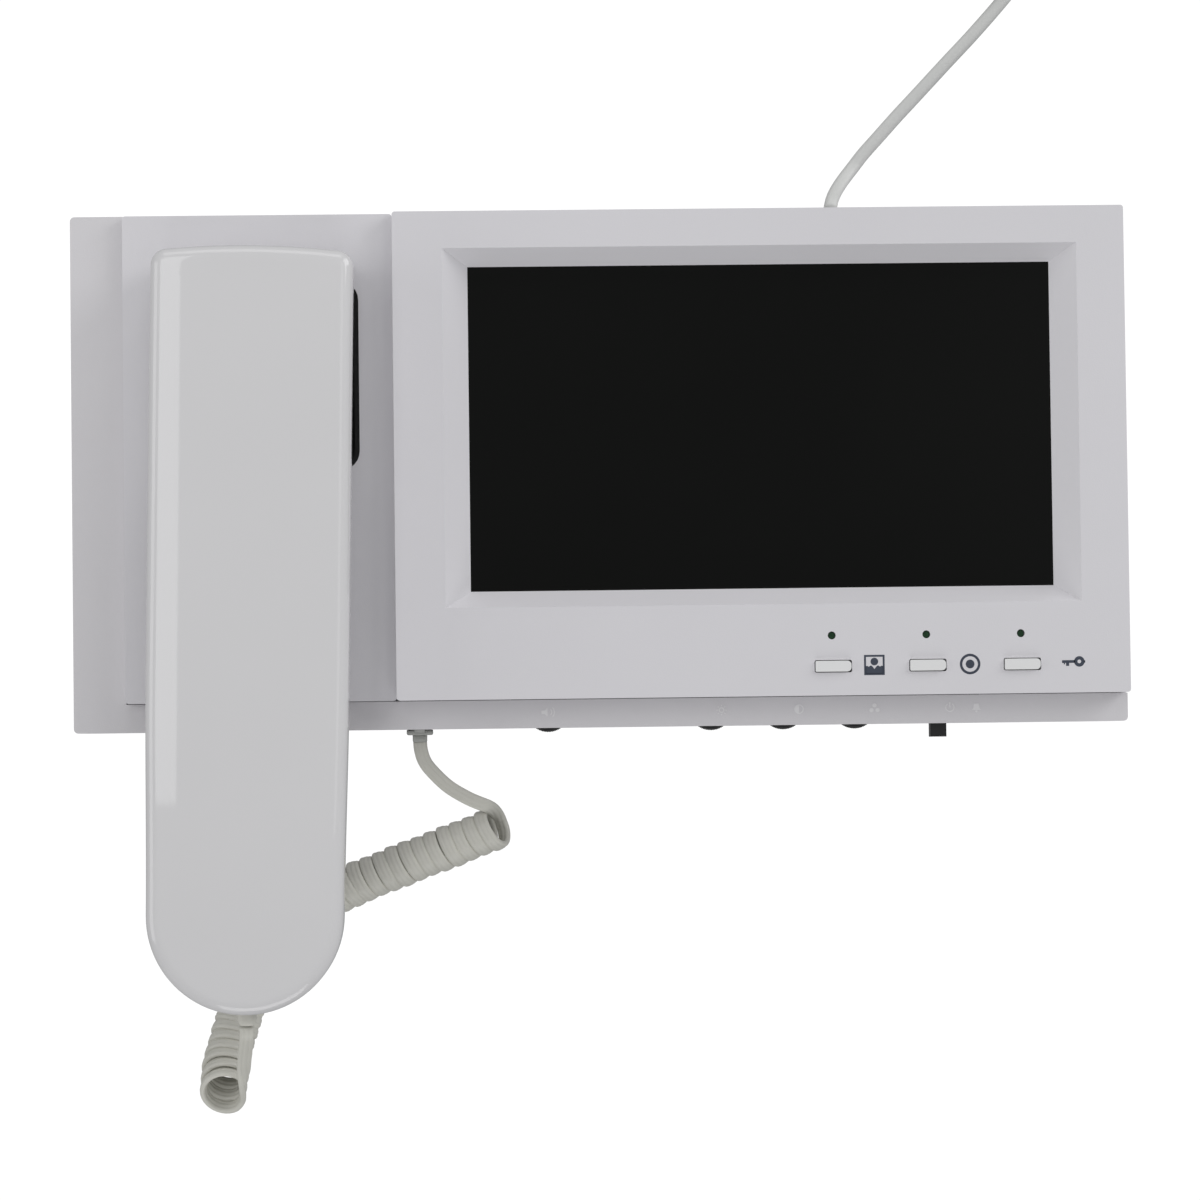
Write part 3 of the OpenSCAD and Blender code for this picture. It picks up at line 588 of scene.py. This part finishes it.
# ---------------------------------------------------------------- plain plastics
soften("front_bezel", 0.45)
soften("cradle_panel", 0.55)
soften("rear_housing", 0.4)
for node, width in (("monitor_button", 0.22), ("talk_button", 0.22), ("unlock_button", 0.22),
                    ("cradle_well", 0.25), ("lead_tie", 0.3), ("wall_bracket", 0.2),
                    ("slider_knob", 0.12), ("hook_lever", 0.3)):
    soften(node, width, 2)


# ---------------------------------------------------------------- plugs of the handset cord
def bar(stations, centre_x, centre_z, power):
    """A bar along Y from stations of (y, width, height, lift above the centre)."""
    return loft([[Vector((centre_x + a, y, centre_z + lift + b)) for a, b in oval(w, h, 28, power)]
                 for y, w, h, lift in stations])


def joined(name, parts, mat, body, smooth=True):
    """One piece from several closed shapes."""
    points, faces = [], []
    for p, f in parts:
        base = len(points)
        points += p
        faces += [tuple(base + i for i in face) for face in f]
    return piece(name, points, faces, mat, body, smooth)


def box_mm(node):
    """The low and high corners of a node, in millimetres."""
    return [[c / MM for c in corner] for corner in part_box(node)]


# the clear plug in the housing's jack: a collar and neck outside, a body and latch inside
(x0, _, z0), (x1, _, z1) = box_mm("base_plug")
JACK_X, JACK_Z = (x0 + x1) / 2, (z0 + z1) / 2
EDGE_Y = box_mm("rear_housing")[0][1]     # the housing's lower edge
collar = bar([(EDGE_Y - 0.05, 6.4, 5.4, 0), (EDGE_Y - 0.12, 7.0, 5.9, 0),
              (EDGE_Y - 0.9, 7.1, 6.0, 0), (EDGE_Y - 1.3, 6.9, 5.8, 0),
              (EDGE_Y - 1.5, 6.2, 5.2, 0)], JACK_X, JACK_Z, 5)
neck = bar([(EDGE_Y - 1.3, 3.9, 3.0, 0), (EDGE_Y - 2.9, 3.9, 2.9, 0),
            (EDGE_Y - 3.25, 3.7, 2.7, 0), (EDGE_Y - 3.35, 3.3, 2.3, 0)], JACK_X, JACK_Z, 5)
nose = bar([(-57.2, 5.6, 5.4, 0), (-57.6, 6.2, 6.0, 0), (EDGE_Y + 0.1, 6.3, 6.1, 0),
            (EDGE_Y - 0.05, 6.2, 6.0, 0)], JACK_X, JACK_Z, 6)
latch = bar([(-57.4, 2.6, 0.8, 3.0), (-62, 2.8, 0.9, 3.3), (-67.6, 3.0, 0.9, 3.6),
             (-69.3, 3.0, 0.8, 3.4)], JACK_X, JACK_Z, 4)
plug = joined("base_clear_plug", [collar, neck, nose, latch], CLEAR, "base")
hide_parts("base_plug")

# the plug in the handset, with a short boot
tip = to_handset(0, -H_L / 2, PLUG_Z)
boot = bar([(tip.y + 4.5, 5.0, 3.8, 0), (tip.y - 0.6, 5.1, 3.9, 0), (tip.y - 1.3, 5.05, 3.8, 0),
            (tip.y - 1.9, 4.8, 3.6, 0), (tip.y - 2.4, 4.3, 3.3, 0), (tip.y - 2.75, 3.6, 2.9, 0),
            (tip.y - 2.95, 2.7, 2.4, 0), (tip.y - 3.02, 1.6, 1.6, 0)], tip.x, PLUG_Z, 2.6)
stub = bar([(tip.y + 12.0, 5.8, 5.6, 0), (tip.y + 11.6, 6.2, 6.0, 0), (tip.y + 4.8, 6.2, 6.0, 0),
            (tip.y + 4.4, 5.8, 5.6, 0)], tip.x, PLUG_Z, 6)
cord_boot = joined("handset_cord_boot", [boot, stub], CORD, "handset")
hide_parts("handset_plug")

# ---------------------------------------------------------------- thumb wheels
BORE_R, TOOTH_DEPTH, TEETH = 1.62, 0.17, 84


def knurled(node):
    """A thumb wheel with a fine straight knurl, chamfered rims and a bored hub."""
    (x0, y0, z0), (x1, y1, z1) = box_mm(node)
    cx, cy, r = (x0 + x1) / 2, (y0 + y1) / 2, (x1 - x0) / 2
    lower = [(BORE_R, 0, 0), (r - 1.6, 0, 0), (r - 1.2, 0.25, 0), (r - 0.55, 0.25, 0),
             (r - 0.1, 0.7, 1), (r, 0.8, 1)]
    profile = [(pr, z0 + up, cut) for pr, up, cut in lower]
    profile += [(pr, z1 - up, cut) for pr, up, cut in reversed(lower)]
    n = TEETH * 4
    points, faces = [], []
    for pr, z, cut in profile:
        for k in range(n):
            a = 2 * math.pi * k / n
            rr = pr - cut * (TOOTH_DEPTH if k % 4 in (0, 3) else 0.0)
            points.append((cx + rr * math.cos(a), cy + rr * math.sin(a), z))
    for i in range(len(profile)):
        j = (i + 1) % len(profile)
        for k in range(n):
            m = (k + 1) % n
            faces.append((i * n + k, j * n + k, j * n + m, i * n + m))
    return points, faces


for control in ("volume", "brightness", "contrast", "colour"):
    node = control + "_wheel"
    points, faces = knurled(node)
    wheel = piece("knurled_" + node, points, faces, BLACK, control + "_dial",
                  smooth=False)
    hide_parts(node)


# ---------------------------------------------------------------- mains plug
def plug_body():
    """A slim two-pin plug: a wide rounded nose, a waisted grip and a ribbed neck."""
    (x0, y0, z0), (x1, y1, z1) = box_mm("mains_plug")
    cy, cz, wide, tall = (y0 + y1) / 2, (z0 + z1) / 2, y1 - y0, z1 - z0
    grip_l, neck_l = 24.5, 8              # the stations run over grip_l, stretched to the neck
    stations = [(0, 0.86, 0.80), (0.35, 0.93, 0.90), (1.0, 0.98, 0.97), (2.0, 1, 1), (9, 1, 1),
                (13, 0.99, 0.99), (16, 0.95, 0.94), (19, 0.87, 0.87), (22, 0.76, 0.80),
                (grip_l, 0.66, 0.74)]
    rings = [(x0 + x * (x1 - x0 - neck_l) / grip_l, w * wide, h * tall) for x, w, h in stations]
    for k in range(4):                    # the neck's ribs, each narrower than the last
        x, w, h = x1 - 7.4 + 1.9 * k, 8.6 - 0.8 * k, (8.6 - 0.8 * k) * 0.8
        rings += [(x, w, h), (x + 1.1, w, h), (x + 1.25, w - 1.5, h - 1.4),
                  (x + 1.7, w - 1.5, h - 1.4)]
    out = []
    for x, w, h in rings:
        power = 4.5 if w > 9 else 2.4     # the grip is squarer than the neck
        out.append([Vector((min(x, x1), cy + a, cz + b)) for a, b in oval(w, h, 40, power)])
    return loft(out)


points, faces = plug_body()
plug_shell = piece("mains_plug_shell", points, faces, LEAD, "base")
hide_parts("mains_plug")


# ---------------------------------------------------------------- printed and raised pictograms
def prism(shape, z0, z1):
    """A flat shape between two heights."""
    n = len(shape)
    points = [(x, y, z) for z in (z0, z1) for x, y in shape]
    faces = [tuple(range(n)), tuple(range(n, 2 * n))]
    faces += [(k, (k + 1) % n, n + (k + 1) % n, n + k) for k in range(n)]
    return points, faces


def frame_of(outer, inner, z0, z1):
    """The flat shape between two outlines with as many points."""
    n = len(outer)
    points = [(x, y, z) for z in (z0, z1) for loop in (outer, inner) for x, y in loop]
    faces = []
    for k in range(n):
        m = (k + 1) % n
        faces += [(k, m, n + m, n + k), (2 * n + k, 3 * n + k, 3 * n + m, 2 * n + m),
                  (k, 2 * n + k, 2 * n + m, m), (n + k, n + m, 3 * n + m, 3 * n + k)]
    return points, faces


def circle(cx, cy, r, n=36, start=0.0, sweep=360.0):
    """Points of a circle, or of an arc with both its ends."""
    count = n if sweep >= 360 else n + 1
    return [(cx + r * math.cos(math.radians(start + sweep * k / n)),
             cy + r * math.sin(math.radians(start + sweep * k / n))) for k in range(count)]


def block(x0, y0, x1, y1):
    """A rectangle's outline."""
    return [(x0, y0), (x1, y0), (x1, y1), (x0, y1)]


def arc_band(cx, cy, r, half, start, sweep):
    """The outline of an arc with a width of twice half."""
    outer = circle(cx, cy, r + half, 14, start, sweep)
    return outer + circle(cx, cy, r - half, 14, start, sweep)[::-1]


def moved(shape, cx, cy):
    """A shape moved from the origin."""
    return [(x + cx, y + cy) for x, y in shape]


FACE_Z = box_mm("front_bezel")[1][2]
PRINT = (FACE_Z - 0.02, FACE_Z + 0.03)    # printed on the bezel


def person(cx, cy):
    """A framed head and shoulders."""
    shoulders = [(-2.3, -2.25), (2.3, -2.25), (2.3, -0.35), (1.9, -0.2), (1.45, -0.45),
                 (0.95, -0.1), (0.55, -0.35), (0.0, -1.05), (-0.55, -0.35), (-0.95, -0.1),
                 (-1.45, -0.45), (-1.9, -0.2), (-2.3, -0.35)]
    outer, inner = block(-2.7, -2.65, 2.7, 2.65), block(-2.2, -2.15, 2.2, 2.15)
    return [frame_of(moved(outer, cx, cy), moved(inner, cx, cy), *PRINT),
            prism(circle(cx, cy + 0.9, 1.0), *PRINT), prism(moved(shoulders, cx, cy), *PRINT)]


def target(cx, cy):
    """A dot in a ring."""
    return [frame_of(circle(cx, cy, 2.7, 56), circle(cx, cy, 2.05, 56), *PRINT),
            prism(circle(cx, cy, 1.15), *PRINT)]


def key(cx, cy):
    """A key with its bow to the right."""
    shaft = [(-3.05, 0.5), (-3.05, -0.22), (-2.6, -0.22), (-2.6, -0.6), (-2.3, -0.6),
             (-2.3, -0.22), (-2.0, -0.22), (-2.0, -1.0), (-1.2, -1.0), (-1.2, -0.22),
             (0.4, -0.22), (0.4, 0.5)]
    bow_x, bow_y = cx + 1.5, cy + 0.14
    return [prism(moved(shaft, cx, cy), *PRINT),
            frame_of(circle(bow_x, bow_y, 1.38, 44), circle(bow_x, bow_y, 0.5, 44), *PRINT),
            prism(moved(block(2.7, -0.18, 3.05, 0.42), cx, cy), *PRINT)]


for name, shapes in (("icon_monitor", person(71.4, -52.8)), ("icon_talk", target(96.6, -52.85)),
                     ("icon_unlock", key(123.9, -52.65))):
    joined(name, shapes, INK, "base", smooth=False)

STRIP_Z = box_mm("rear_housing")[1][2]
MARK_Y = -64.1                            # the row of raised marks on the strip
RAISE = (STRIP_Z - 0.05, STRIP_Z + 0.12)


def speaker(x, y):
    """A speaker with two waves."""
    cone = [(-1.9, -0.45), (-1.1, -0.45), (-0.3, -1.15), (-0.3, 1.15), (-1.1, 0.45), (-1.9, 0.45)]
    waves = [prism(arc_band(x - 0.3, y, r, 0.14, -42, 84), *RAISE) for r in (1.1, 1.8)]
    return [prism(moved(cone, x, y), *RAISE)] + waves


def sun(x, y):
    """A ring with eight rays."""
    shapes = [frame_of(circle(x, y, 0.75), circle(x, y, 0.45), *RAISE)]
    for k in range(8):
        c, s = math.cos(math.pi * k / 4), math.sin(math.pi * k / 4)
        ray = ((1.0, 0.12), (1.4, 0.12), (1.4, -0.12), (1.0, -0.12))
        shapes.append(prism([(x + c * r - s * w, y + s * r + c * w) for r, w in ray], *RAISE))
    return shapes


def half_disc(x, y):
    """A ring with its left half filled."""
    return [frame_of(circle(x, y, 1.25), circle(x, y, 0.98), *RAISE),
            prism(circle(x, y, 0.99, 20, 90, 180), *RAISE)]


def three_dots(x, y):
    """Three dots in a triangle."""
    return [prism(circle(x + dx, y + dy, 0.55, 24), *RAISE)
            for dx, dy in ((-0.8, -0.5), (0.8, -0.5), (0.0, 0.75))]


def power_sign(x, y):
    """An open ring with a bar."""
    return [prism(arc_band(x, y, 1.1, 0.15, 125, 290), *RAISE),
            prism(block(x - 0.15, y, x + 0.15, y + 1.4), *RAISE)]


def bell(x, y):
    """A bell with its clapper."""
    dome = [(-1.2, -0.8), (1.2, -0.8), (0.8, -0.2), (0.6, 0.9), (-0.6, 0.9), (-0.8, -0.2)]
    return [prism(moved(dome, x, y), *RAISE), prism(circle(x, y - 1.15, 0.28, 20), *RAISE)]


# the raised marks carry a painted highlight: their plastic is painted lighter than the housing's
for name, sign, x in (("mark_volume", speaker, -14.2), ("mark_brightness", sun, 31.5),
                      ("mark_contrast", half_disc, 52.0), ("mark_colour", three_dots, 72.0),
                      ("mark_power", power_sign, 92.0), ("mark_call", bell, 99.0)):
    joined(name, sign(x, MARK_Y), MARK_PAINTED_HIGHLIGHT, "base", smooth=False)

# ---------------------------------------------------------------- studio
camera = bpy.data.objects.new("camera", bpy.data.cameras.new("camera"))
bpy.context.scene.collection.objects.link(camera)
CAMERA_AT = Vector((-0.02550, -0.07005, 1.08257))
forward = Vector((0.02385, 0.03350, -0.99915)).normalized()
upward = Vector((0.01162, 0.99936, 0.03378))
right = forward.cross(upward).normalized()
upward = right.cross(forward)
camera.matrix_world = Matrix([(right[i], upward[i], -forward[i], CAMERA_AT[i]) for i in range(3)]
                             + [(0, 0, 0, 1)])
camera.data.lens = 120
camera.data.sensor_width = 36
camera.data.clip_start = 0.05
camera.data.clip_end = 50
bpy.context.scene.camera = camera


def softbox(name, place, target, size, radiance):
    """A soft rectangular light that faces a point."""
    lamp = bpy.data.lights.new(name, "AREA")
    lamp.shape = "RECTANGLE"
    lamp.size, lamp.size_y = size
    lamp.energy = radiance * math.pi * size[0] * size[1]
    obj = bpy.data.objects.new(name, lamp)
    obj.location = place
    obj.rotation_euler = (Vector(target) - Vector(place)).to_track_quat("-Z", "Y").to_euler()
    obj.visible_camera = False
    bpy.context.scene.collection.objects.link(obj)


softbox("left_box", (-0.54, 0.29, 1.0), (-0.54, 0.29, 0), (0.45, 0.78), 1.9)
softbox("right_box", (1.15, 0.65, 0.55), (0.05, -0.02, 0), (0.7, 1.0), 3.2)
softbox("right_strip", (0.52, 0.2, 1.0), (0.52, 0.2, 0), (0.34, 0.7), 0.8)
softbox("left_low", (-1.3, 0.0, 0.55), (0, 0, 0), (1.0, 0.6), 1.7)
softbox("low_fill", (0.1, -1.25, 0.55), (0.02, 0, 0), (1.2, 0.6), 2.1)
softbox("top_fill", (0.0, 1.35, 0.7), (0.02, 0, 0), (1.4, 0.6), 1.5)

world = bpy.data.worlds.new("studio")
world.use_nodes = True
background = world.node_tree.nodes["Background"]
background.inputs["Color"].default_value = (0.97, 0.985, 1, 1)
background.inputs["Strength"].default_value = 0.31
bpy.context.scene.world = world


def glow(name, level):
    """An evenly bright white surface that lights nothing itself."""
    mat = bpy.data.materials.new(name)
    mat.use_nodes = True
    tree = mat.node_tree
    tree.nodes.clear()
    out = tree.nodes.new("ShaderNodeOutputMaterial")
    light = tree.nodes.new("ShaderNodeEmission")
    light.inputs["Color"].default_value = (1, 1, 1, 1)
    light.inputs["Strength"].default_value = level
    tree.links.new(light.outputs["Emission"], out.inputs["Surface"])
    mat.cycles.emission_sampling = "NONE"
    return mat


FAR = 9000                                # half the width of the white room
FLOOR_Z, UNDER_Z = -0.3, -10
corners = [(-FAR, -FAR), (FAR, -FAR), (FAR, FAR), (-FAR, FAR)]
floor = mesh_piece("floor", [(x, y, FLOOR_Z) for x, y in corners], [(0, 1, 2, 3)], False)
dress(floor, glow("floor_glow", 1.05))
wall = mesh_piece("backdrop", [(x, y, z) for z in (UNDER_Z, FAR) for x, y in corners],
                  [(0, 1, 5, 4), (1, 2, 6, 5), (2, 3, 7, 6), (3, 0, 4, 7), (4, 5, 6, 7)], False)
dress(wall, glow("backdrop_glow", 1.0))
for stage in (floor, wall):
    stage.visible_diffuse = False
    stage.visible_glossy = False
    stage.visible_shadow = False

scene = bpy.context.scene
scene.view_settings.view_transform = "Standard"
scene.view_settings.look = "None"
scene.render.film_transparent = False
scene.cycles.use_denoising = True
